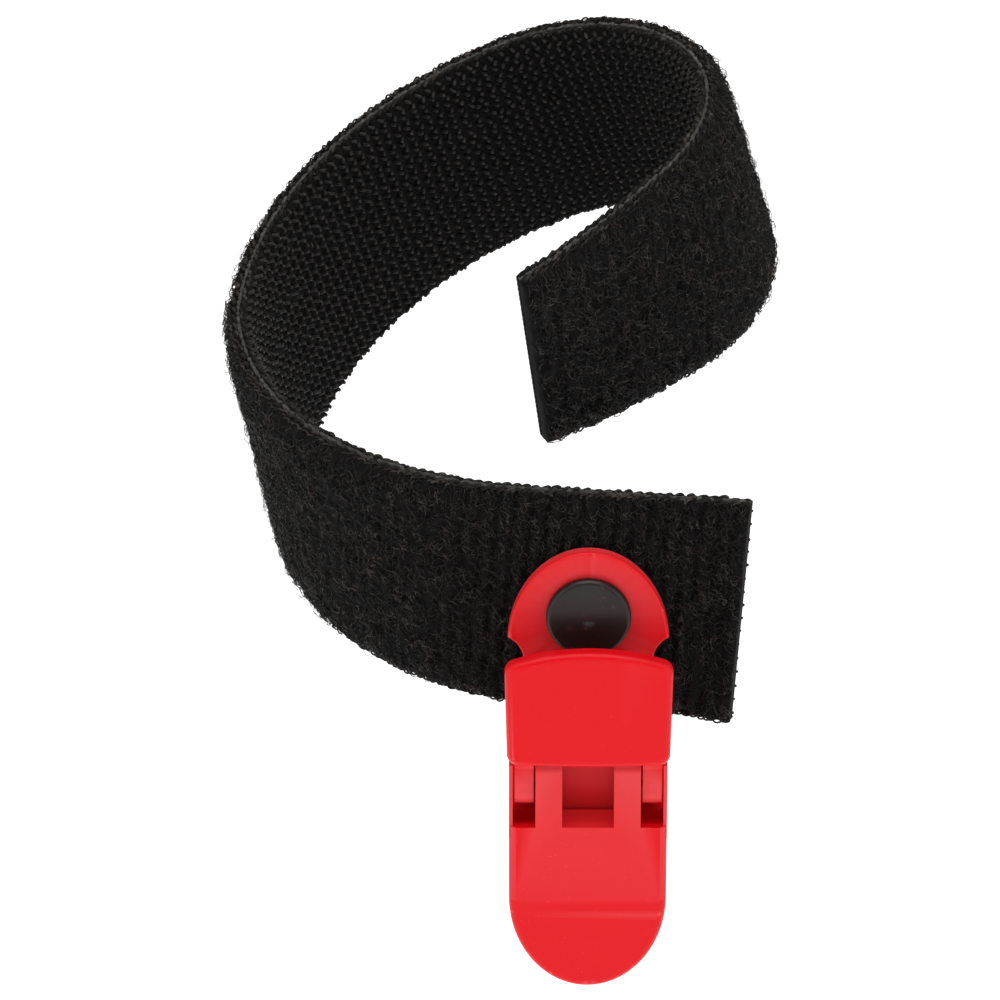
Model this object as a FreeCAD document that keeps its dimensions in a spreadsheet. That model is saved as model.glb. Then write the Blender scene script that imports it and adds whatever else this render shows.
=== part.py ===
import FreeCAD, Part
import math
import os
import Sketcher
from FreeCAD import Matrix, Placement, Vector

# A hook-and-loop strap, one inch wide, bent into an open loop, with a plastic lever clip
# hanging from a double-cap rivet.  Millimetres.  +Z is up, the clip faces -Y.
# Every size is a named cell of the sheet.  "drop" is a distance below the rivet's axis and
# "front" is a distance ahead of the clip's flat back.

doc = FreeCAD.newDocument("strap_with_clip")
sheet = doc.addObject("Spreadsheet::Sheet", "Sizes")

SIZES = [
    # where the rivet sits, seen from the middle of the wrist loop
    ("rivet_x", "9"), ("rivet_y", "-36"), ("rivet_z", "-12"),
    # clearances
    ("part_gap", "0.3"), ("side_gap", "0.2"), ("run_fit", "0.05"), ("layer_gap", "0.05"),
    # strap: layers, and how the rivet sits on it
    ("strap_width", "25.4"), ("loop_thick", "1.3"), ("bond_thick", "0.12"),
    ("hook_thick", "1.0"), ("strap_roll", "4"), ("rivet_below_middle", "0.4"),
    # rivet
    ("cap_radius", "4.53"), ("rim_round", "0.6"), ("cap_rim", "0.75"), ("cap_rise", "0.55"), ("post_radius", "1.65"),
    ("post_bite", "0.45"),
    # clip plate and its ring
    ("plate_thick", "1.4"), ("tab_half", "8.6"), ("tab_top", "7.3"), ("tab_long", "10.95"),
    ("neck_half", "6.9"), ("scoop_radius", "3.2"), ("scoop_drop", "5.6"), ("plate_drop", "7"),
    # jaws
    ("jaw_half", "8.45"), ("jaw_end_drop", "32"), ("jaw_end_long", "10.9"),
    ("jaw_front", "6.1"), ("jaw_back", "2"), ("shoulder_drop", "21.9"),
    ("floor_drop", "23.2"), ("cavity_half", "6.7"), ("cavity_top", "28.6"),
    ("cavity_foot", "38"), ("tongue_thick", "2.2"), ("edge_round", "0.8"),
    ("groove_half", "5"), ("groove_drop", "38.9"), ("groove_pitch", "1.1"),
    ("groove_deep", "0.45"),
    # ears, cheeks, pins
    ("ear_inner", "2.77"), ("ear_thick", "2.85"), ("ear_top", "15.9"), ("ear_back", "2.7"),
    ("cheek_thick", "0.4"), ("cheek_front", "5.7"), ("lever_pin_drop", "19.5"),
    ("cam_gap", "0.12"), ("pin_radius", "0.7"), ("pin_bite", "2"),
    ("jaw_pin_drop", "26.2"), ("jaw_pin_front", "3.4"), ("lug_half", "3"), ("lug_radius", "1.5"),
    # lever
    ("lever_half", "8.95"), ("lever_foot_half", "8.65"), ("lever_top_drop", "1.25"),
    ("lever_top_bow", "1.65"), ("lever_foot_drop", "14.9"), ("lever_foot_bow", "0.3"),
    ("lever_thick", "1.9"), ("lever_round", "0.8"), ("lever_corner", "1.4"),
    ("lever_heel_round", "1.2"), ("cam_radius", "2.04"), ("cam_shift", "0.34"),
    ("sweep_radius", "3.9"),
    # places that follow from the sizes above
    ("middle_up", "=rivet_below_middle"),
    ("loop_from", "=part_gap"), ("loop_to", "=loop_from + loop_thick"),
    ("bond_from", "=loop_to + layer_gap"), ("bond_to", "=bond_from + bond_thick"),
    ("hook_from", "=bond_to + layer_gap"), ("hook_to", "=hook_from + hook_thick"),
    ("cap_under", "=plate_thick + part_gap"), ("cap_edge", "=cap_under + cap_rim"),
    ("cap_top", "=cap_edge + cap_rise"), ("cap_seat", "=cap_under + post_bite"),
    ("cap_dome", "=(cap_radius^2 + cap_rise^2) / (2 * cap_rise)"),
    ("back_edge", "=hook_to + cap_rim"), ("back_top", "=back_edge + cap_rise"),
    ("back_seat", "=hook_to + post_bite"), ("post_long", "=cap_seat + back_seat"),
    ("ring_hole", "=post_radius + run_fit"), ("tab_drop", "=tab_long - tab_top"),
    ("scoop_out", "=neck_half + scoop_radius"),
    ("ear_outer", "=ear_inner + ear_thick"), ("knuckle_inner", "=ear_outer + side_gap"),
    ("cheek_inner", "=jaw_half - cheek_thick"), ("knuckle_outer", "=cheek_inner - side_gap"),
    ("knuckle_wide", "=knuckle_outer - knuckle_inner"),
    ("sweep_wide", "=cheek_inner - ear_outer"), ("sweep_top", "=ear_top - 1"),
    ("lever_pin_front", "=plate_thick + cam_gap + cam_radius + cam_shift"),
    ("pin_hole", "=pin_radius + run_fit"), ("pin_inner", "=ear_outer - pin_bite"),
    ("pin_outer", "=knuckle_outer - 0.2"), ("pin_long", "=pin_outer - pin_inner"),
    ("lug_pocket", "=lug_radius + part_gap"), ("lug_front", "=jaw_pin_front + lug_pocket"),
    ("lug_top", "=jaw_pin_drop - lug_radius"), ("lug_foot", "=jaw_pin_drop + lug_radius"),
    ("pocket_top", "=jaw_pin_drop - lug_pocket"), ("pocket_foot", "=jaw_pin_drop + lug_pocket"),
    ("jaw_pin_long", "=2 * (jaw_half - 0.25)"), ("tongue_back", "=jaw_front - tongue_thick"),
    ("lever_back", "=jaw_front + part_gap"), ("lever_shoulder", "=lever_top_drop + lever_top_bow"),
    ("lever_heel", "=lever_foot_drop - lever_foot_bow"),
    ("lever_top_radius", "=(lever_half^2 + lever_top_bow^2) / (2 * lever_top_bow)"),
    ("lever_foot_radius", "=(lever_foot_half^2 + lever_foot_bow^2) / (2 * lever_foot_bow)"),
    ("cam_front", "=lever_pin_front - cam_shift"), ("cam_drop", "=lever_pin_drop - cam_shift"),
    ("arm_front", "=cam_front + cam_radius - 0.02"), ("arm_low", "=cam_drop"),
    ("arm_mid", "=lever_pin_drop - 3.2"), ("arm_join", "=lever_back + 0.4"),
    ("arm_foot", "=lever_foot_drop - 1.4"), ("arm_top", "=lever_foot_drop - 5"),
    ("arm_rear", "=cam_front - cam_radius + 0.6"), ("arm_rear_mid", "=arm_rear + 1.2"),
    ("groove_side", "=groove_deep * 0.6"), ("groove_low", "=groove_drop + groove_side"),
    ("groove_high", "=groove_drop - groove_side"), ("plate_groove", "=plate_thick - groove_deep"),
    ("jaw_groove", "=jaw_back + groove_deep"), ("outside", "=jaw_back - 1"),
    ("plate_out", "=plate_thick + 1"), ("jaw_deep", "=jaw_front - jaw_back"),
    ("shoulder_foot", "=floor_drop + 1.5"), ("shoulder_deep", "=jaw_front - edge_round - jaw_back"),
    ("ear_deep", "=jaw_front - ear_back"), ("cheek_deep", "=cheek_front - ear_back"),
    ("lug_room", "=lug_half + part_gap"), ("jaw_pin_end", "=jaw_pin_long / 2"),
]

# the bent strap, stretch by stretch: length, turn toward the inside of the loop, twist
# (mm and degrees).  The long run goes round the loop, the short one is the tail by the rivet.
LONG_RUN = [(5, 0, 0), (52, 94, -28), (52, 74, -4), (54, 148, -6), (21, 14, -12)]
SHORT_RUN = [(9, 0, 0), (7, -12, -4)]
for tag, run in (("long", LONG_RUN), ("short", SHORT_RUN)):
    for step, numbers in enumerate(run, 1):
        for word, number in zip(("length", "turn", "twist"), numbers):
            SIZES.append((f"{tag}_{word}_{step}", str(number)))

for row, (name, text) in enumerate(SIZES, 1):
    sheet.set(f"A{row}", name)
    sheet.set(f"B{row}", text)
    sheet.setAlias(f"B{row}", name)
doc.recompute()


def size(name):
    """The number behind a name; a leading minus is allowed."""
    if name == "0":
        return 0.0
    if name.startswith("-"):
        return -float(getattr(sheet, name[1:]))
    return float(getattr(sheet, name))


def bind(thing, prop, name):
    """Tie a property to a cell of the sheet."""
    if name == "0":
        return
    thing.setExpression(prop, name.replace("-", "-Sizes.") if name[0] == "-" else "Sizes." + name)


def place(thing):
    """Move a finished piece from the rivet's own centre to the part's frame."""
    thing.setExpression(".Placement.Base.x", "Sizes.rivet_x")
    thing.setExpression(".Placement.Base.y", "Sizes.rivet_y")
    thing.setExpression(".Placement.Base.z", "Sizes.rivet_z")


def new_body(label):
    body = doc.addObject("PartDesign::Body", label)
    body.Label = label
    place(body)
    return body


def origin_plane(body, role):
    return [f for f in body.Origin.OriginFeatures if f.Role == role][0]


def new_sketch(body, name, role, away="0"):
    """A sketch on one of the body's origin planes, moved along its normal by a named size."""
    sketch = body.newObject("Sketcher::SketchObject", body.Label + "_" + name)
    sketch.AttachmentSupport = [(origin_plane(body, role), "")]
    sketch.MapMode = "FlatFace"
    sketch.AttachmentOffset = Placement(Vector(0, 0, size(away)), FreeCAD.Rotation())
    bind(sketch, ".AttachmentOffset.Base.z", away)
    return sketch


def pin_point(sketch, geometry, end, x, y):
    """Hold one point of the sketch at two named distances from the origin."""
    for kind, name in (("DistanceX", x), ("DistanceY", y)):
        held = Sketcher.Constraint(kind, -1, 1, geometry, end, size(name))
        index = sketch.addConstraint(held)
        bind(sketch, f"Constraints[{index}]", name)


def outline(sketch, corners):
    """Closed outline.  A corner is (x, y), or (x, y, radius, side) if an arc leaves it."""
    spots = [Vector(size(c[0]), size(c[1]), 0) for c in corners]
    edges = []
    for i, corner in enumerate(corners):
        a, b = spots[i], spots[(i + 1) % len(spots)]
        if len(corner) == 2:
            edges.append((sketch.addGeometry(Part.LineSegment(a, b)), 1, 2))
            continue
        radius, side = size(corner[2]), corner[3]
        half = (b - a).Length / 2
        sag = radius - math.sqrt(radius * radius - half * half)
        middle = (a + b) * 0.5 + Vector(a.y - b.y, b.x - a.x, 0).normalize() * sag * side
        if side < 0:
            edges.append((sketch.addGeometry(Part.Arc(a, middle, b)), 1, 2))
        else:
            edges.append((sketch.addGeometry(Part.Arc(b, middle, a)), 2, 1))
        index = sketch.addConstraint(Sketcher.Constraint("Radius", edges[-1][0], radius))
        bind(sketch, f"Constraints[{index}]", corner[2])
    for i, edge in enumerate(edges):
        after = edges[(i + 1) % len(edges)]
        sketch.addConstraint(Sketcher.Constraint("Coincident", edge[0], edge[2], after[0], after[1]))
        pin_point(sketch, edge[0], edge[1], corners[i][0], corners[i][1])


def circle(sketch, x, y, radius):
    shape = Part.Circle(Vector(size(x), size(y), 0), Vector(0, 0, 1), size(radius))
    number = sketch.addGeometry(shape)
    index = sketch.addConstraint(Sketcher.Constraint("Radius", number, size(radius)))
    bind(sketch, f"Constraints[{index}]", radius)
    pin_point(sketch, number, 3, x, y)


def tall_oval(sketch, y, half_wide, half_tall):
    """An upright ellipse centred on the sketch's vertical axis."""
    middle = Vector(0, size(y), 0)
    top = middle + Vector(0, size(half_tall), 0)
    side = middle + Vector(size(half_wide), 0, 0)
    number = sketch.addGeometry(Part.Ellipse(top, side, middle))
    sketch.exposeInternalGeometry(number)
    long_line, short_line = number + 1, number + 2
    sketch.addConstraint(Sketcher.Constraint("Vertical", long_line))
    pin_point(sketch, number, 3, "0", y)
    for line, name in ((long_line, half_tall), (short_line, half_wide)):
        held = Sketcher.Constraint("Distance", line, 2 * size(name))
        index = sketch.addConstraint(held)
        sketch.setExpression(f"Constraints[{index}]", "2 * Sizes." + name)


def extrude(body, name, sketch, length, kind="Pad", both_ways=False, twice=False):
    """Pad or pocket a sketch by a named length."""
    feature = body.newObject("PartDesign::" + kind, body.Label + "_" + name)
    feature.Profile = sketch
    feature.Length = size(length) * (2 if twice else 1)
    feature.setExpression("Length", ("2 * " if twice else "") + "Sizes." + length)
    feature.Midplane = both_ways
    doc.recompute()
    return feature


def cut_through(body, name, sketch):
    feature = body.newObject("PartDesign::Pocket", body.Label + "_" + name)
    feature.Profile = sketch
    feature.Type = "ThroughAll"
    feature.Midplane = True
    doc.recompute()
    return feature


def mirror(body, name, features):
    """Repeat features on the other side of the clip's middle plane."""
    feature = body.newObject("PartDesign::Mirrored", body.Label + "_" + name)
    feature.Originals = features
    feature.MirrorPlane = (origin_plane(body, "YZ_Plane"), [""])
    body.Tip = feature
    doc.recompute()
    return feature


def round_edges(body, name, chosen, radius):
    """Fillet the edges of the newest shape that pass the test."""
    tip = body.Tip
    names = [f"Edge{i}" for i, e in enumerate(tip.Shape.Edges, 1) if chosen(e)]
    feature = body.newObject("PartDesign::Fillet", body.Label + "_" + name)
    feature.Base = (tip, names)
    feature.Radius = size(radius)
    feature.setExpression("Radius", "Sizes." + radius)
    doc.recompute()
    return feature


def at_y(edge, y):
    """True if the whole edge lies in the plane at this y, seen in the body's own frame."""
    box = edge.BoundBox
    return abs(box.YMin - y) < 1e-4 and abs(box.YMax - y) < 1e-4


# ---- strap -------------------------------------------------------------------------

def turned(frame, along, turn, twist):
    """Step a strap frame (point, forward, across, outward) along a constant bend and twist."""
    point, forward, across, outward = frame
    spin = forward * math.radians(twist) - across * math.radians(turn)
    angle = spin.Length
    rotation = Matrix()
    if angle > 1e-9:
        rotation = FreeCAD.Rotation(spin, math.degrees(angle)).toMatrix()
    ahead = rotation.multVec(forward)
    middle = (forward + ahead) * 0.5
    return (point + middle * along, ahead, rotation.multVec(across), rotation.multVec(outward))


def strap_frames():
    """Frames from the tail's end, past the rivet, to the far end of the long run."""
    roll = math.radians(size("strap_roll"))
    forward = Vector(-math.cos(roll), 0, math.sin(roll))
    across = Vector(math.sin(roll), 0, math.cos(roll))
    start = (across * size("middle_up"), forward, across, Vector(0, -1, 0))
    frames = [start]
    for tag, run, sense in (("short", SHORT_RUN, -1), ("long", LONG_RUN, 1)):
        here = start
        for step in range(1, len(run) + 1):
            length = size(f"{tag}_length_{step}")
            pieces = max(2, round(length / 3))
            turn = sense * size(f"{tag}_turn_{step}") / pieces
            twist = sense * size(f"{tag}_twist_{step}") / pieces
            for _ in range(pieces):
                here = turned(here, sense * length / pieces, turn, twist)
                frames.append(here) if sense > 0 else frames.insert(0, here)
    return frames


def strap_layer(label, near, far):
    """One layer of the strap, between two depths behind the clip's flat back."""
    half = size("strap_width") / 2
    sections = []
    for point, forward, across, outward in strap_frames():
        corners = []
        for side, depth in ((half, near), (half, far), (-half, far), (-half, near)):
            corners.append(point + across * side - outward * size(depth))
        sections.append(Part.makePolygon(corners + corners[:1]))
    solid = Part.makeLoft(sections, True, False)
    hole = Part.makeCylinder(size("post_radius"), 20, Vector(0, -10, 0), Vector(0, 1, 0))
    layer = doc.addObject("Part::Feature", label)
    layer.Label = label
    layer.Shape = solid.cut(hole)
    place(layer)
    return layer


strap_layer("loop_tape", "loop_from", "loop_to")
strap_layer("tape_bond", "bond_from", "bond_to")
strap_layer("hook_tape", "hook_from", "hook_to")


# ---- rivet -------------------------------------------------------------------------

def rivet_cap(label, rim, corners):
    """A shallow domed cap, turned about the rivet's axis."""
    body = new_body(label)
    sketch = new_sketch(body, "profile", "XY_Plane")
    outline(sketch, corners)
    turn = body.newObject("PartDesign::Revolution", label + "_turn")
    turn.Profile = sketch
    turn.ReferenceAxis = (sketch, ["V_Axis"])
    turn.Angle = 360
    doc.recompute()
    round_edges(body, "rolled_rim", lambda e: rim in (round(e.BoundBox.YMin, 6), round(e.BoundBox.YMax, 6))
                and e.BoundBox.XLength > 2 * size("post_radius") + 1, "rim_round")


rivet_cap("rivet_front_cap", round(-size("cap_edge"), 6), [
    ("0", "-cap_seat"), ("0", "-cap_top", "cap_dome", -1), ("cap_radius", "-cap_edge"),
    ("cap_radius", "-cap_under"), ("post_radius", "-cap_under"), ("post_radius", "-cap_seat"),
])
rivet_cap("rivet_back_cap", round(size("back_edge"), 6), [
    ("0", "back_seat"), ("0", "back_top", "cap_dome", 1), ("cap_radius", "back_edge"),
    ("cap_radius", "hook_to"), ("post_radius", "hook_to"), ("post_radius", "back_seat"),
])


def rivet_post():
    body = new_body("rivet_post")
    sketch = new_sketch(body, "round", "XZ_Plane", "cap_seat")
    circle(sketch, "0", "0", "post_radius")
    post = extrude(body, "shank", sketch, "post_long")
    post.Reversed = True
    doc.recompute()


rivet_post()


# ---- clip --------------------------------------------------------------------------

def jaw_outline(body, top, away, length):
    """The long jaw shape shared by plate and tongue: straight sides and an oval end."""
    sides = new_sketch(body, "sides", "XZ_Plane", away)
    outline(sides, [("-jaw_half", top), ("jaw_half", top),
                    ("jaw_half", "-jaw_end_drop"), ("-jaw_half", "-jaw_end_drop")])
    extrude(body, "blade", sides, length)
    end = new_sketch(body, "end", "XZ_Plane", away)
    tall_oval(end, "-jaw_end_drop", "jaw_half", "jaw_end_long")
    extrude(body, "tip", end, length)


def grip_grooves(body, mouth, root):
    """Three shallow V grooves across the inside of a jaw, near its end."""
    sketch = new_sketch(body, "groove", "YZ_Plane")
    outline(sketch, [(mouth, "-groove_high"), (root, "-groove_drop"), (mouth, "-groove_low")])
    groove = extrude(body, "grip", sketch, "groove_half", "Pocket", True, True)
    rows = body.newObject("PartDesign::LinearPattern", body.Label + "_grip_rows")
    rows.Originals = [groove]
    rows.Direction = (sketch, ["V_Axis"])
    rows.Reversed = True
    rows.Length = 2 * size("groove_pitch")
    rows.setExpression("Length", "2 * Sizes.groove_pitch")
    rows.Occurrences = 3
    body.Tip = rows
    doc.recompute()


def clip_back():
    """The flat back plate: ring for the rivet, thumb scoops, lower jaw and hinge lug."""
    body = new_body("clip_back")
    tab = new_sketch(body, "tab", "XZ_Plane")
    tall_oval(tab, "-tab_drop", "tab_half", "tab_long")
    extrude(body, "ring", tab, "plate_thick")
    jaw_outline(body, "-plate_drop", "0", "plate_thick")
    scoops = new_sketch(body, "scoops", "XZ_Plane")
    circle(scoops, "scoop_out", "-scoop_drop", "scoop_radius")
    circle(scoops, "-scoop_out", "-scoop_drop", "scoop_radius")
    cut_through(body, "waist", scoops)
    front = -size("plate_thick")
    round_edges(body, "soft_front", lambda e: at_y(e, front), "part_gap")
    hole = new_sketch(body, "hole", "XZ_Plane")
    circle(hole, "0", "0", "ring_hole")
    cut_through(body, "rivet_hole", hole)
    root = new_sketch(body, "lug_root", "YZ_Plane")
    outline(root, [("-plate_groove", "-lug_top"), ("-jaw_pin_front", "-lug_top"),
                   ("-jaw_pin_front", "-lug_foot"), ("-plate_groove", "-lug_foot")])
    extrude(body, "lug_block", root, "lug_half", "Pad", True, True)
    nose = new_sketch(body, "lug_nose", "YZ_Plane")
    circle(nose, "-jaw_pin_front", "-jaw_pin_drop", "lug_radius")
    extrude(body, "lug_end", nose, "lug_half", "Pad", True, True)
    bore = new_sketch(body, "lug_bore", "YZ_Plane")
    circle(bore, "-jaw_pin_front", "-jaw_pin_drop", "pin_radius")
    cut_through(body, "lug_hole", bore)
    grip_grooves(body, "-plate_out", "-plate_groove")


def front_jaw():
    """The tongue: two ears for the lever, a window between them, hinge pocket and grip."""
    body = new_body("front_jaw")
    jaw_outline(body, "-floor_drop", "jaw_back", "jaw_deep")
    window = new_sketch(body, "window", "XZ_Plane")
    outline(window, [("-jaw_half", "-plate_drop"), ("jaw_half", "-plate_drop"),
                     ("jaw_half", "-floor_drop"), ("-jaw_half", "-floor_drop")])
    cut_through(body, "window_floor", window)
    front = -size("jaw_front")
    top = -size("floor_drop")
    round_edges(body, "soft_front", lambda e: at_y(e, front) and e.BoundBox.ZMin < top - 0.1,
                "edge_round")
    shoulders = new_sketch(body, "shoulders", "XZ_Plane", "jaw_back")
    for a, b in (("ear_inner", "jaw_half"), ("-jaw_half", "-ear_inner")):
        outline(shoulders, [(a, "-shoulder_drop"), (b, "-shoulder_drop"),
                            (b, "-shoulder_foot"), (a, "-shoulder_foot")])
    extrude(body, "shoulder", shoulders, "shoulder_deep")
    ears = new_sketch(body, "ears", "XZ_Plane", "ear_back")
    for a, b in (("ear_inner", "ear_outer"), ("-ear_outer", "-ear_inner")):
        outline(ears, [(a, "-ear_top"), (b, "-ear_top"), (b, "-shoulder_foot"), (a, "-shoulder_foot")])
    extrude(body, "ear_pair", ears, "ear_deep")
    level = -size("ear_top")
    round_edges(body, "ear_tops", lambda e: abs(e.BoundBox.ZMin - level) < 1e-4
                and abs(e.BoundBox.ZMax - level) < 1e-4 and e.BoundBox.XLength > 1, "edge_round")
    cheeks = new_sketch(body, "cheeks", "XZ_Plane", "ear_back")
    for a, b in (("cheek_inner", "jaw_half"), ("-jaw_half", "-cheek_inner")):
        outline(cheeks, [(a, "-ear_top"), (b, "-ear_top"), (b, "-shoulder_foot"), (a, "-shoulder_foot")])
    extrude(body, "cheek_pair", cheeks, "cheek_deep")
    sweep = new_sketch(body, "sweep", "YZ_Plane", "cheek_inner")
    circle(sweep, "-lever_pin_front", "-lever_pin_drop", "sweep_radius")
    scoop = extrude(body, "knuckle_room", sweep, "sweep_wide", "Pocket")
    pins = new_sketch(body, "pins", "YZ_Plane", "ear_outer")
    circle(pins, "-lever_pin_front", "-lever_pin_drop", "pin_radius")
    bores = extrude(body, "lever_pin_hole", pins, "pin_bite", "Pocket")
    mirror(body, "other_side", [scoop, bores])
    pocket = new_sketch(body, "lug_room", "YZ_Plane")
    outline(pocket, [("-outside", "-pocket_top"), ("-lug_front", "-pocket_top"),
                     ("-lug_front", "-pocket_foot"), ("-outside", "-pocket_foot")])
    extrude(body, "lug_pocket", pocket, "lug_room", "Pocket", True, True)
    bore = new_sketch(body, "pin_bore", "YZ_Plane")
    circle(bore, "-jaw_pin_front", "-jaw_pin_drop", "pin_hole")
    cut_through(body, "pin_hole", bore)
    cavity = new_sketch(body, "cavity", "XZ_Plane", "tongue_back")
    outline(cavity, [("-cavity_half", "-cavity_top"), ("cavity_half", "-cavity_top"),
                     ("cavity_half", "-cavity_foot"), ("-cavity_half", "-cavity_foot")])
    extrude(body, "throat", cavity, "tongue_back", "Pocket")
    grip_grooves(body, "-outside", "-jaw_groove")


def lever():
    """The flip lever: a rounded plate with two cam knuckles behind its lower edge."""
    body = new_body("lever")
    face = new_sketch(body, "face", "XZ_Plane", "lever_back")
    outline(face, [("-lever_half", "-lever_shoulder", "lever_top_radius", 1),
                   ("lever_half", "-lever_shoulder"),
                   ("lever_foot_half", "-lever_heel", "lever_foot_radius", 1),
                   ("-lever_foot_half", "-lever_heel")])
    extrude(body, "blade", face, "lever_thick")
    high = -size("lever_foot_drop") / 2
    across = [lambda e, up=up: e.BoundBox.YLength > 1 and (e.BoundBox.ZMin > high) == up
              for up in (True, False)]
    round_edges(body, "top_corners", across[0], "lever_corner")
    round_edges(body, "heel_corners", across[1], "lever_heel_round")
    front = -size("lever_back") - size("lever_thick")
    round_edges(body, "soft_front", lambda e: at_y(e, front), "lever_round")
    back = -size("lever_back")
    round_edges(body, "soft_back", lambda e: at_y(e, back), "part_gap")
    side = new_sketch(body, "arm", "YZ_Plane", "knuckle_inner")
    outline(side, [("-arm_front", "-arm_low"), ("-arm_front", "-arm_mid"), ("-arm_join", "-arm_foot"),
                   ("-arm_join", "-arm_top"), ("-arm_rear_mid", "-arm_mid"), ("-arm_rear", "-arm_low")])
    arm = extrude(body, "arm_plate", side, "knuckle_wide")
    round_part = new_sketch(body, "cam", "YZ_Plane", "knuckle_inner")
    circle(round_part, "-cam_front", "-cam_drop", "cam_radius")
    cam = extrude(body, "knuckle", round_part, "knuckle_wide")
    hole = new_sketch(body, "hole", "YZ_Plane", "knuckle_outer")
    circle(hole, "-lever_pin_front", "-lever_pin_drop", "pin_hole")
    bore = extrude(body, "pin_hole", hole, "knuckle_wide", "Pocket")
    mirror(body, "other_side", [arm, cam, bore])


def cross_pin(label, front, drop, from_x, length):
    """A plain pin lying across the clip."""
    body = new_body(label)
    sketch = new_sketch(body, "round", "YZ_Plane", from_x)
    circle(sketch, front, drop, "pin_radius")
    extrude(body, "shank", sketch, length)


clip_back()
front_jaw()
lever()
cross_pin("jaw_pin", "-jaw_pin_front", "-jaw_pin_drop", "-jaw_pin_end", "jaw_pin_long")
cross_pin("lever_pin_right", "-lever_pin_front", "-lever_pin_drop", "pin_inner", "pin_long")
cross_pin("lever_pin_left", "-lever_pin_front", "-lever_pin_drop", "-pin_outer", "pin_long")

# ---- write -------------------------------------------------------------------------

NODES = [
    "loop_tape", "tape_bond", "hook_tape", "rivet_front_cap", "rivet_back_cap", "rivet_post",
    "clip_back", "front_jaw", "lever", "jaw_pin", "lever_pin_right", "lever_pin_left",
]
doc.recompute()
for item in doc.Objects:
    if "Invalid" in item.State or "Error" in item.State:
        raise RuntimeError(f"{item.Name}: {item.State}")
os.makedirs("parts", exist_ok=True)
for node in NODES:
    piece = doc.getObjectsByLabel(node)[0]
    if piece.Shape.isNull() or not piece.Shape.isValid() or len(piece.Shape.Solids) != 1:
        raise RuntimeError(f"{node}: bad shape, {len(piece.Shape.Solids)} solids")
    piece.Shape.exportStep(f"parts/{node}.step")
    print(node, round(piece.Shape.Volume, 2))
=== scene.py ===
import bpy
import math
import numpy as np
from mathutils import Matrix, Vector


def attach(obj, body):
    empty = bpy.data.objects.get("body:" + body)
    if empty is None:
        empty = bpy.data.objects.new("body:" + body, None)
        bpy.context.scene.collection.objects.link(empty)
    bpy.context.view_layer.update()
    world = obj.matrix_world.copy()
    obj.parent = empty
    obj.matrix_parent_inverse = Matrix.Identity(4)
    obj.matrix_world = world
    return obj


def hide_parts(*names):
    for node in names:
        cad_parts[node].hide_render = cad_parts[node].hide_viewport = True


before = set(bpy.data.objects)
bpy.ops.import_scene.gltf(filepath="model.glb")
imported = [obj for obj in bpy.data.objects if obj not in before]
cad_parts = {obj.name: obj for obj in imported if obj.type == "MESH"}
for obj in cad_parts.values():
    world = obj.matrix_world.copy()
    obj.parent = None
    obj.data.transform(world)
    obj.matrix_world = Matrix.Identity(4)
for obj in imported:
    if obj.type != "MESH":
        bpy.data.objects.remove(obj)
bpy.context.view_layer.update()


# ---- studio ----
# A plain pale floor well under the hanging strap, with soft light from above, from both
# sides and a little from the front.  The camera looks slightly down at the clip's face.
def soft_panel(name, spot, aim, width, height, watts):
    """A square of diffused light that faces a point."""
    lamp = bpy.data.lights.new(name, "AREA")
    lamp.shape = "RECTANGLE"
    lamp.size, lamp.size_y, lamp.energy = width, height, watts
    panel = bpy.data.objects.new(name, lamp)
    panel.location = spot
    panel.rotation_euler = (Vector(aim) - Vector(spot)).to_track_quat("-Z", "Y").to_euler()
    bpy.context.collection.objects.link(panel)
    return panel


LOOK_AT = Vector((-0.0004, -0.03447, 0.00016))
LOOK_DOWN = math.radians(26.5)
LOOK_FROM = 0.8

lens = bpy.data.cameras.new("studio_camera")
lens.lens = 272.5
lens.sensor_width = 36.0
lens.clip_start, lens.clip_end = 0.01, 20.0
camera = bpy.data.objects.new("studio_camera", lens)
camera.location = LOOK_AT + LOOK_FROM * Vector((0, -math.cos(LOOK_DOWN), math.sin(LOOK_DOWN)))
camera.rotation_euler = (math.pi / 2 - LOOK_DOWN, 0, 0)
bpy.context.collection.objects.link(camera)
bpy.context.scene.camera = camera
bpy.context.scene.view_settings.view_transform = "Standard"

soft_panel("top_panel", (0.0, -0.15, 0.75), (0, 0, 0), 0.7, 0.5, 4.0)
soft_panel("left_panel", (-0.7, -0.45, 0.25), (0, 0, 0), 0.5, 0.7, 1.9)
soft_panel("right_panel", (0.7, -0.45, 0.25), (0, 0, 0), 0.5, 0.7, 1.9)
soft_panel("front_panel", (0.0, -1.1, 0.1), (0, 0, -0.02), 0.5, 0.4, 1.0)

air = bpy.data.worlds.new("studio_air")
air.use_nodes = True
air.node_tree.nodes["Background"].inputs["Color"].default_value = (1, 1, 1, 1)
air.node_tree.nodes["Background"].inputs["Strength"].default_value = 0.26
bpy.context.scene.world = air

FLOOR_DROP = -0.3
floor_mesh = bpy.data.meshes.new("pale_floor")
floor_mesh.from_pydata([(-6, -6, FLOOR_DROP), (6, -6, FLOOR_DROP), (6, 6, FLOOR_DROP),
                        (-6, 6, FLOOR_DROP)], [], [(0, 1, 2, 3)])
floor = bpy.data.objects.new("pale_floor", floor_mesh)
bpy.context.collection.objects.link(floor)
paper = bpy.data.materials.new("floor_paper")
paper.use_nodes = True
paper_shader = paper.node_tree.nodes["Principled BSDF"]
paper_shader.inputs["Base Color"].default_value = (0.9, 0.9, 0.9, 1)
paper_shader.inputs["Roughness"].default_value = 0.9
paper_shader.inputs["Emission Color"].default_value = (1, 1, 1, 1)
paper_shader.inputs["Emission Strength"].default_value = 0.75
floor.data.materials.append(paper)


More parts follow.
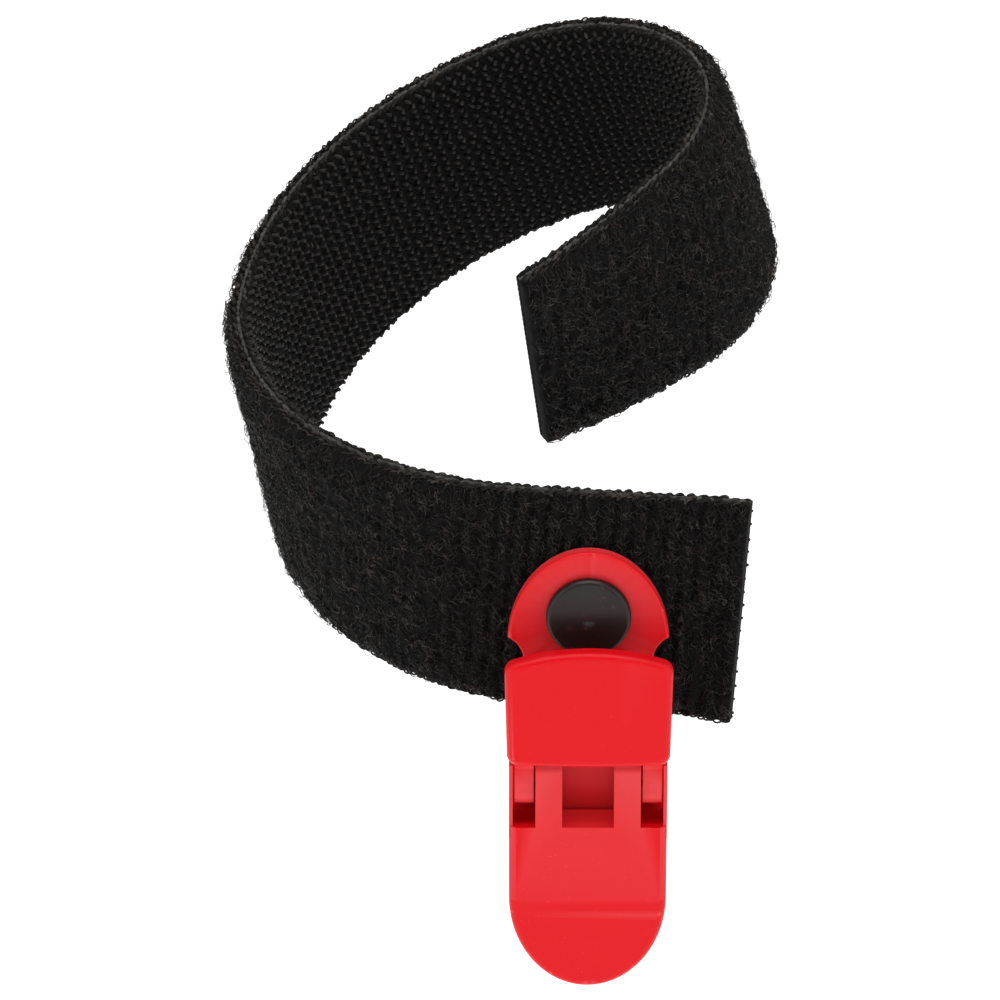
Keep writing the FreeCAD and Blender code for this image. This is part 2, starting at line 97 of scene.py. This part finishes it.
# ---- moulded red clip ----
# Back plate with its ring, front tongue and flip lever: injection-moulded red plastic with
# an even satin gloss, fine specks in the face and a painted highlight that pales its sharpest edges.
def new_finish(name):
    """A node material with its shader, plus quick ways to add and join nodes."""
    finish = bpy.data.materials.new(name)
    finish.use_nodes = True
    tree = finish.node_tree
    shader = tree.nodes["Principled BSDF"]

    def node(kind, **settings):
        made = tree.nodes.new(kind)
        for key, value in settings.items():
            if hasattr(made, key):
                setattr(made, key, value)
            else:
                made.inputs[key.replace("_", " ")].default_value = value
        return made

    return finish, shader, node, tree.links.new


def shade_ramp(node, *stops):
    """A colour ramp with stops of (place, colour)."""
    ramp = node("ShaderNodeValToRGB")
    band = ramp.color_ramp
    while len(band.elements) < len(stops):
        band.elements.new(0.5)
    for element, (place, colour) in zip(band.elements, stops):
        element.position = place
        element.color = (*colour, 1)
    return ramp


def moulded_plastic(name, face, speck, edge_highlight):
    """Satin plastic with fine specks, and a painted highlight that makes its sharpest edges paler."""
    finish, shader, node, join = new_finish(name)
    where = node("ShaderNodeTexCoord")
    specks = node("ShaderNodeTexNoise", Scale=2600.0, Detail=2.0)
    join(where.outputs["Object"], specks.inputs["Vector"])
    spots = shade_ramp(node, (0.0, face), (0.69, face), (0.78, speck))
    join(specks.outputs["Fac"], spots.inputs["Fac"])
    # Painted highlight: where the mesh is sharpest (high pointiness), the red is mixed toward a paler red.
    bend = node("ShaderNodeNewGeometry")
    edge_highlight_ramp = shade_ramp(node, (0.51, (0, 0, 0)), (0.60, (0.4, 0.4, 0.4)))
    join(bend.outputs["Pointiness"], edge_highlight_ramp.inputs["Fac"])
    mix = node("ShaderNodeMix", data_type="RGBA")
    join(edge_highlight_ramp.outputs["Color"], mix.inputs["Factor"])
    join(spots.outputs["Color"], mix.inputs["A"])
    mix.inputs["B"].default_value = (*edge_highlight, 1)
    join(mix.outputs["Result"], shader.inputs["Base Color"])
    cloudy = node("ShaderNodeTexNoise", Scale=240.0, Detail=3.0)
    join(where.outputs["Object"], cloudy.inputs["Vector"])
    gloss = node("ShaderNodeMapRange", To_Min=0.3, To_Max=0.42)
    join(cloudy.outputs["Fac"], gloss.inputs["Value"])
    join(gloss.outputs["Result"], shader.inputs["Roughness"])
    orange_peel = node("ShaderNodeBump", Strength=0.06, Distance=0.00004)
    join(specks.outputs["Fac"], orange_peel.inputs["Height"])
    join(orange_peel.outputs["Normal"], shader.inputs["Normal"])
    shader.inputs["Specular IOR Level"].default_value = 0.13
    shader.inputs["Coat Weight"].default_value = 0.05
    shader.inputs["Coat Roughness"].default_value = 0.25
    shader.inputs["Subsurface Weight"].default_value = 0.02
    shader.inputs["Subsurface Scale"].default_value = 0.0015
    return finish


# The third colour is the paler red of the painted edge highlight.
red = moulded_plastic("moulded_red", (0.70, 0.003, 0.008), (0.74, 0.03, 0.04), (0.84, 0.12, 0.13))
for part_name in ("clip_back", "front_jaw", "lever", "lever_pin_right", "lever_pin_left"):
    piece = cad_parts[part_name]
    piece.data.materials.clear()
    piece.data.materials.append(red)


# ---- rivet and jaw pin ----
# Two pressed caps on a short post, plated dark gunmetal and a little tarnished, hold the
# clip's ring to the strap.  The jaw hinge turns on a pin of plain drawn wire.
def tarnished_metal(name, dark, brown, rough_low, rough_high):
    """Metal with brownish stains, duller where it is stained."""
    finish, shader, node, join = new_finish(name)
    where = node("ShaderNodeTexCoord")
    stain = node("ShaderNodeTexNoise", Scale=900.0, Detail=5.0, Roughness=0.7)
    join(where.outputs["Object"], stain.inputs["Vector"])
    tint = shade_ramp(node, (0.42, dark), (0.6, dark), (0.72, brown))
    join(stain.outputs["Fac"], tint.inputs["Fac"])
    join(tint.outputs["Color"], shader.inputs["Base Color"])
    gloss = node("ShaderNodeMapRange", To_Min=rough_low, To_Max=rough_high)
    join(stain.outputs["Fac"], gloss.inputs["Value"])
    join(gloss.outputs["Result"], shader.inputs["Roughness"])
    dents = node("ShaderNodeBump", Strength=0.08, Distance=0.00003)
    join(stain.outputs["Fac"], dents.inputs["Height"])
    join(dents.outputs["Normal"], shader.inputs["Normal"])
    shader.inputs["Metallic"].default_value = 0.85
    return finish


gunmetal = tarnished_metal("gunmetal_plate", (0.035, 0.030, 0.028), (0.10, 0.06, 0.035), 0.3, 0.5)
wire = tarnished_metal("drawn_wire", (0.42, 0.42, 0.44), (0.3, 0.27, 0.24), 0.25, 0.4)
for part_name in ("rivet_front_cap", "rivet_back_cap", "rivet_post"):
    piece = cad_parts[part_name]
    piece.data.materials.clear()
    piece.data.materials.append(gunmetal)
jaw_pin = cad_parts["jaw_pin"]
jaw_pin.data.materials.clear()
jaw_pin.data.materials.append(wire)


# ---- loop tape, the outer face ----
# A knitted nylon tape brushed into a curly pile of tiny loops, near black, with faint ribs
# across its width and a row of selvedge loops along each edge.  It is bonded to the hook
# tape behind it and held by the rivet.
MM = 0.001
STRAP_HALF = 12.7
STRAP_ROLL = math.radians(4)
RIVET = np.array((9.0, -36.0, -12.0))
MIDDLE_ABOVE_RIVET = 0.4
# length, turn toward the inside of the loop and twist of each stretch (mm and degrees)
LONG_RUN = ((5, 0, 0), (52, 94, -28), (52, 74, -4), (54, 148, -6), (21, 14, -12))
SHORT_RUN = ((9, 0, 0), (7, -12, -4))
RIVET_AT = sum(run[0] for run in SHORT_RUN)
STEP = 0.5


def turn_by(spin, arrows):
    """Rotate the rows of arrows by a rotation vector."""
    angle = np.linalg.norm(spin)
    if angle < 1e-12:
        return arrows
    axis = spin / angle
    along = np.outer(arrows @ axis, axis)
    return along + (arrows - along) * math.cos(angle) + np.cross(axis, arrows) * math.sin(angle)


def lay_out_strap():
    """Distances from the tail's cut end, and the middle line's points with three arrows each:
    forward along the strap, across it, and out of the loop."""
    start = np.array((
        (-math.cos(STRAP_ROLL), 0, math.sin(STRAP_ROLL)),
        (math.sin(STRAP_ROLL), 0, math.cos(STRAP_ROLL)),
        (0, -1, 0),
    ))
    first = RIVET + start[1] * MIDDLE_ABOVE_RIVET
    rows = [(0.0, first, start)]
    for run, sense in ((SHORT_RUN, -1), (LONG_RUN, 1)):
        place, spot, arrows = 0.0, first, start
        for length, turn, twist in run:
            count = round(length / STEP)
            for _ in range(count):
                spin = arrows[0] * math.radians(twist) - arrows[1] * math.radians(turn)
                ahead = turn_by(spin * sense / count, arrows)
                spot = spot + (arrows[0] + ahead[0]) * 0.5 * sense * length / count
                place += sense * length / count
                arrows = ahead
                rows.append((place, spot, arrows))
    rows.sort(key=lambda row: row[0])
    places = np.array([row[0] for row in rows])
    return places - places[0], np.array([row[1] for row in rows]), np.array([row[2] for row in rows])


AT, MIDDLE, ARROWS = lay_out_strap()
STRAP_LONG = float(AT[-1])


def on_strap(along, across, depth):
    """Points (mm) at a distance along the strap, up from its middle line, and deep behind the
    clip's flat back, measured into the loop."""
    along, across, depth = np.broadcast_arrays(along, across, depth)
    shape = along.shape
    along = along.ravel()

    def read(values):
        return np.stack([np.interp(along, AT, values[:, i]) for i in range(3)], 1)

    points = (read(MIDDLE) + read(ARROWS[:, 1]) * across.ravel()[:, None]
              - read(ARROWS[:, 2]) * depth.ravel()[:, None])
    over = (along - STRAP_LONG)[:, None]
    short = along[:, None]
    points += np.where(over > 0, over, 0) * ARROWS[-1, 0]
    points += np.where(short < 0, short, 0) * ARROWS[0, 0]
    return points.reshape(shape + (3,))


def make_mesh(name, points, faces, smooth=True):
    """A mesh object from points in mm and an array of four-cornered faces."""
    mesh = bpy.data.meshes.new(name)
    points = np.asarray(points, dtype=np.float32) * MM
    faces = np.asarray(faces, dtype=np.int32)
    mesh.vertices.add(len(points))
    mesh.vertices.foreach_set("co", points.ravel())
    mesh.loops.add(faces.size)
    mesh.loops.foreach_set("vertex_index", faces.ravel())
    mesh.polygons.add(len(faces))
    mesh.polygons.foreach_set("loop_start", np.arange(0, faces.size, 4, dtype=np.int32))
    mesh.polygons.foreach_set("use_smooth", np.full(len(faces), smooth))
    mesh.update(calc_edges=True)
    made = bpy.data.objects.new(name, mesh)
    bpy.context.collection.objects.link(made)
    return made


def grid_faces(rows, columns, wrap=False):
    """Faces of a grid of points stored row by row; wrap joins the last column to the first."""
    a = np.arange(rows - 1)[:, None] * columns
    b = np.arange(columns if wrap else columns - 1)[None, :]
    c = (b + 1) % columns
    return np.stack([a + b, a + c, a + columns + c, a + columns + b], -1).reshape(-1, 4)


def thin_yarns(lines, radius, sides):
    """Fine tubes along many lines at once: lines is (count, points, 3), radius (count, points)."""
    count, steps, _ = lines.shape
    ahead = np.gradient(lines, axis=1)
    ahead /= np.linalg.norm(ahead, axis=2, keepdims=True) + 1e-9
    helper = np.where(np.abs(ahead[..., 2:]) < 0.9, (0.0, 0.0, 1.0), (1.0, 0.0, 0.0))
    left = np.cross(ahead, helper)
    left /= np.linalg.norm(left, axis=2, keepdims=True) + 1e-9
    up = np.cross(ahead, left)
    angles = np.arange(sides) * 2 * math.pi / sides
    rings = (lines[:, :, None] + radius[:, :, None, None]
             * (left[:, :, None] * np.cos(angles)[:, None] + up[:, :, None] * np.sin(angles)[:, None]))
    faces = grid_faces(steps, sides, wrap=True)
    faces = faces[None] + (np.arange(count) * steps * sides)[:, None, None]
    return rings.reshape(-1, 3), faces.reshape(-1, 4)


def slab(name, along, across, front, back):
    """A closed band: two grids of points and the walls round them."""
    rows, columns = len(along), len(across[0])
    outer = on_strap(along[:, None], across, front)
    inner = on_strap(along[:, None], across, back)
    size = rows * columns
    near = grid_faces(rows, columns)[:, ::-1]
    far = grid_faces(rows, columns) + size
    ends = np.arange(columns - 1)
    sides = np.arange(rows - 1) * columns
    walls = [np.stack([ends, ends + 1, ends + 1 + size, ends + size], 1),
             np.stack([ends + 1, ends, ends + size, ends + 1 + size], 1) + (rows - 1) * columns,
             np.stack([sides + columns, sides, sides + size, sides + columns + size], 1),
             np.stack([sides, sides + columns, sides + columns + size, sides + size], 1) + columns - 1]
    return make_mesh(name, np.concatenate([outer.reshape(-1, 3), inner.reshape(-1, 3)]),
                     np.concatenate([near, far] + walls))


def smooth_noise(seed, rows, columns, coarse):
    """Soft random bumps between -1 and 1 on a grid, with a given coarseness in cells."""
    dice = np.random.default_rng(seed)
    small = dice.uniform(-1, 1, (rows // coarse + 3, columns // coarse + 3))
    y = np.linspace(0, small.shape[0] - 1.001, rows)
    x = np.linspace(0, small.shape[1] - 1.001, columns)
    yi, xi = y.astype(int), x.astype(int)
    yf, xf = y - yi, x - xi
    yf, xf = (yf * yf * (3 - 2 * yf))[:, None], (xf * xf * (3 - 2 * xf))[None]
    top = small[yi][:, xi] * (1 - xf) + small[yi][:, xi + 1] * xf
    low = small[yi + 1][:, xi] * (1 - xf) + small[yi + 1][:, xi + 1] * xf
    return top * (1 - yf) + low * yf


PILE_BACK = 1.6
RIB = 1.8
SCALLOP = 1.35


def pile_face(s, t):
    """Depth of the brushed face: pressed thin under the clip, full and springy elsewhere, with
    faint ribs and soft dark dips, and falling away at both edges."""
    springy = np.clip((np.abs(s - RIVET_AT) - 10) / 8, 0, 1)
    full = 0.48 - 0.62 * springy * springy * (3 - 2 * springy)
    ribs = (0.08 + 0.2 * (1 - springy)) * np.sin(2 * math.pi * s / RIB + 0.4 * np.sin(t * 0.7))
    dips = 0.09 * np.sin(0.93 * s + 1.7 * np.sin(0.41 * t)) * np.sin(0.83 * t + 1.3 * np.sin(0.31 * s))
    return full - ribs + dips + (0.45 + 0.5 * springy) * np.clip(np.abs(t) / STRAP_HALF, 0, 1.02) ** 12


along = np.linspace(0, STRAP_LONG, 800)
rows = len(along)
columns = 90
edge_wave = 0.34 * np.abs(np.sin(math.pi * along / SCALLOP)) - 0.28
across = np.linspace(-1, 1, columns)[None] * (STRAP_HALF + edge_wave)[:, None]
tufts = 0.2 * smooth_noise(11, rows, columns, 3) + 0.12 * smooth_noise(12, rows, columns, 7)
front = np.clip(pile_face(along[:, None], across) + tufts, -0.4, 1.4)
front[np.abs(along - RIVET_AT) < 14] = np.clip(front[np.abs(along - RIVET_AT) < 14], 0.3, 1.4)
loop_ground = slab("loop_tape_ground", along, across, front, np.full_like(front, PILE_BACK))


def dark_nylon(name, deep, pale_tone_and_highlight, scale, rough, shine=0.12):
    """Near-black fibre with paler patches, partly random pale tone and partly painted fibre highlight, and a
    soft, bumpy nap.
    """
    finish, shader, node, join = new_finish(name)
    where = node("ShaderNodeTexCoord")
    fluff = node("ShaderNodeTexNoise", Scale=scale, Detail=6.0, Roughness=0.75)
    join(where.outputs["Object"], fluff.inputs["Vector"])
    # The paler colour is partly painted highlight on the fibres and partly random paler tone.
    tint = shade_ramp(node, (0.36, deep), (0.5, deep), (0.68, pale_tone_and_highlight))
    join(fluff.outputs["Fac"], tint.inputs["Fac"])
    join(tint.outputs["Color"], shader.inputs["Base Color"])
    nap = node("ShaderNodeBump", Strength=0.8, Distance=0.0002)
    join(fluff.outputs["Fac"], nap.inputs["Height"])
    join(nap.outputs["Normal"], shader.inputs["Normal"])
    shader.inputs["Roughness"].default_value = rough
    shader.inputs["Specular IOR Level"].default_value = shine
    shader.inputs["Sheen Weight"].default_value = 0.02
    shader.inputs["Sheen Roughness"].default_value = 0.5
    return finish


pile_ground = dark_nylon("loop_pile_ground", (0.004, 0.0035, 0.0035), (0.012, 0.010, 0.009), 1800.0, 0.95)
loop_ground.data.materials.append(pile_ground)


CLIP_REACH = 48
CLIP_SIDE = 12
PLATE_GAP = 0.08


def clear_of_clip(points):
    """Push pile back so that it stays just behind the plane in which the clip's plate swings."""
    near = np.hypot(points[..., 0] - RIVET[0], points[..., 2] - RIVET[2]) < CLIP_REACH
    near &= points[..., 0] < RIVET[0] + CLIP_SIDE
    behind = np.maximum(points[..., 1], RIVET[1] + PLATE_GAP)
    points[..., 1] = np.where(near, behind, points[..., 1])
    return points


def curly_pile(seed, count, long_low, long_high, rise_low, rise_high, radius):
    """Loops of fine yarn that rise out of the ground, wander and dive back."""
    dice = np.random.default_rng(seed)
    steps = 7
    u = np.linspace(0, 1, steps)[None]
    base_along = dice.uniform(0.3, STRAP_LONG - 0.3, count)[:, None]
    base_across = dice.uniform(-STRAP_HALF + 0.4, STRAP_HALF - 0.4, count)[:, None]
    lean = dice.normal(math.pi / 2, 0.75, count)[:, None]
    reach = dice.uniform(long_low, long_high, count)[:, None]
    curl = dice.uniform(-0.45, 0.45, count)[:, None] * reach
    phase = dice.uniform(0, 2 * math.pi, count)[:, None]
    forward = reach * (u - 0.5) + 0.12 * np.sin(4.5 * math.pi * u + phase)
    sideways = curl * np.sin(math.pi * u) + 0.12 * np.cos(5.0 * math.pi * u + phase)
    rise = dice.uniform(rise_low, rise_high, count)[:, None] * np.sin(math.pi * u) ** 0.7
    s = np.clip(base_along + forward * np.cos(lean) - sideways * np.sin(lean), 0.02, STRAP_LONG - 0.02)
    t = np.clip(base_across + forward * np.sin(lean) + sideways * np.cos(lean),
                -STRAP_HALF - 0.1, STRAP_HALF + 0.1)
    lines = clear_of_clip(on_strap(s, t, pile_face(s, t) + 0.1 - rise))
    width = radius * (0.55 + 0.45 * np.sin(math.pi * u)) * dice.uniform(0.75, 1.25, count)[:, None]
    return thin_yarns(lines, width, 3)


points, faces = curly_pile(21, 17000, 0.7, 2.2, 0.2, 0.62, 0.052)
strays, stray_faces = curly_pile(22, 2600, 0.9, 2.4, 0.5, 1.0, 0.03)
loop_pile = make_mesh("loop_tape_pile", np.concatenate([points, strays]),
                      np.concatenate([faces, stray_faces + len(points)]))
# The yarn's paler colour stands in for glints on the curly fibres: a painted highlight.
pile_yarn = dark_nylon("loop_pile_yarn", (0.004, 0.0035, 0.003), (0.075, 0.06, 0.05), 700.0, 0.42, 0.28)
loop_pile.data.materials.append(pile_yarn)


def edge_loops(seed, side, depth, reach, pitch, radius):
    """A row of little yarn loops along one edge of the tape."""
    dice = np.random.default_rng(seed)
    spots = np.arange(0.6, STRAP_LONG - 0.5, pitch)
    count = len(spots)
    u = np.linspace(-0.15, 1.15, 9)[None]
    middle = (spots + dice.normal(0, 0.08, count))[:, None]
    wide = (0.42 + dice.uniform(-0.08, 0.1, count))[:, None]
    tall = (reach * dice.uniform(0.55, 1.25, count))[:, None]
    s = np.clip(middle - wide * np.cos(math.pi * u), 0.05, STRAP_LONG - 0.05)
    t = side * (STRAP_HALF - 0.28 + tall * np.sin(math.pi * np.clip(u, -0.15, 1.15)))
    d = depth + dice.uniform(-0.15, 0.15, count)[:, None] + 0.12 * np.sin(2 * math.pi * u)
    lines = on_strap(s, t, d)
    return thin_yarns(lines, np.full(lines.shape[:2], radius), 5)


selvedge = [edge_loops(31, 1, 1.2, 0.4, SCALLOP, 0.2), edge_loops(32, -1, 1.2, 0.42, SCALLOP, 0.2),
            edge_loops(33, 1, 0.8, 0.34, 0.8, 0.11), edge_loops(34, -1, 0.8, 0.36, 0.8, 0.11)]
offset, all_points, all_faces = 0, [], []
for points, faces in selvedge:
    all_points.append(points)
    all_faces.append(faces + offset)
    offset += len(points)
loop_edge = make_mesh("loop_tape_selvedge", np.concatenate(all_points), np.concatenate(all_faces))
selvedge_yarn = dark_nylon("selvedge_yarn", (0.014, 0.012, 0.011), (0.09, 0.075, 0.065), 600.0, 0.6)
loop_edge.data.materials.append(selvedge_yarn)

for piece in (loop_ground, loop_pile, loop_edge):
    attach(piece, "strap")
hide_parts("loop_tape")


# ---- bonding film ----
# A thin grey film of hot-melt glue joins the two tapes.  It shows as a paler line between
# them along both edges.
FILM_FRONT, FILM_BACK = 1.5, 1.86
film_along = np.linspace(0.05, STRAP_LONG - 0.05, 900)
film_reach = STRAP_HALF + 0.02 + 0.16 * smooth_noise(41, 900, 3, 1)[:, :1]
film_across = np.linspace(-1, 1, 24)[None] * film_reach
film = slab("bonding_film", film_along, film_across,
            np.full(film_across.shape, FILM_FRONT), np.full(film_across.shape, FILM_BACK))
film_grey = dark_nylon("hot_melt_grey", (0.055, 0.055, 0.052), (0.15, 0.15, 0.14), 1300.0, 0.6)
film.data.materials.append(film_grey)
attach(film, "strap")
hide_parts("tape_bond")


# ---- hook tape, the inner face ----
# A tightly woven black nylon tape with close staggered rows of small bent hooks, facing
# the inside of the loop.
HOOK_BACK = 1.78
HOOK_GROUND = 2.35
HOOK_TIP = 2.95
HOOK_PITCH = 1.4
HOOK_ROW = 0.78
BARE_ROUND_RIVET = 4.9
hook_along = np.linspace(0, STRAP_LONG, 1000)
hook_wave = 0.1 * np.abs(np.sin(math.pi * hook_along / 1.1)) - 0.12
hook_across = np.linspace(-1, 1, 110)[None] * (STRAP_HALF + hook_wave)[:, None]
weave = 0.13 * np.sin(2 * math.pi * hook_along[:, None] / HOOK_PITCH
                      + math.pi * np.round(hook_across / HOOK_ROW)) * np.cos(math.pi * hook_across / HOOK_ROW)
hook_ground = slab("hook_tape_ground", hook_along, hook_across,
                   np.full(hook_across.shape, HOOK_BACK), HOOK_GROUND + weave)
hook_weave = dark_nylon("hook_weave", (0.003, 0.003, 0.003), (0.012, 0.011, 0.010), 1500.0, 0.85)
hook_ground.data.materials.append(hook_weave)

dice = np.random.default_rng(51)
rows_up = np.arange(-STRAP_HALF + 0.5, STRAP_HALF - 0.4, HOOK_ROW)
spots = [(s + (i % 2) * HOOK_PITCH / 2, t) for i, t in enumerate(rows_up)
         for s in np.arange(0.4, STRAP_LONG - 1.2, HOOK_PITCH)]
spots = np.array(spots) + dice.normal(0, 0.05, (len(spots), 2))
from_rivet = np.hypot(spots[:, 0] - RIVET_AT, spots[:, 1] + MIDDLE_ABOVE_RIVET)
spots = spots[from_rivet > BARE_ROUND_RIVET]
u = np.linspace(0, 1, 6)[None]
way = np.where(np.round(spots[:, 1:] / HOOK_ROW) % 2 < 1, -1.0, 1.0)
s = spots[:, :1] + way * 0.34 * np.sin(math.pi * 0.62 * u) ** 1.4
t = spots[:, 1:] + 0.1 * dice.normal(0, 1, (len(spots), 1)) * u
d = HOOK_GROUND - 0.05 + (HOOK_TIP - HOOK_GROUND) * np.sin(math.pi * 0.72 * u)
hook_lines = on_strap(s, t, d)
points, faces = thin_yarns(hook_lines, np.full(hook_lines.shape[:2], 0.19) * (1.15 - 0.35 * u), 5)
hooks = make_mesh("hook_tape_hooks", points, faces)
# The hooks' paler colour is partly a painted highlight on their tips.
hook_nylon = dark_nylon("hook_nylon", (0.014, 0.012, 0.011), (0.04, 0.034, 0.03), 800.0, 0.5, 0.3)
hooks.data.materials.append(hook_nylon)

hook_edges = [edge_loops(53, 1, 2.15, 0.3, 1.1, 0.2), edge_loops(54, -1, 2.15, 0.32, 1.1, 0.2)]
points = np.concatenate([hook_edges[0][0], hook_edges[1][0]])
faces = np.concatenate([hook_edges[0][1], hook_edges[1][1] + len(hook_edges[0][0])])
hook_edge = make_mesh("hook_tape_selvedge", points, faces)
hook_edge.data.materials.append(selvedge_yarn)
for piece in (hook_ground, hooks, hook_edge):
    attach(piece, "strap")
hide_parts("hook_tape")
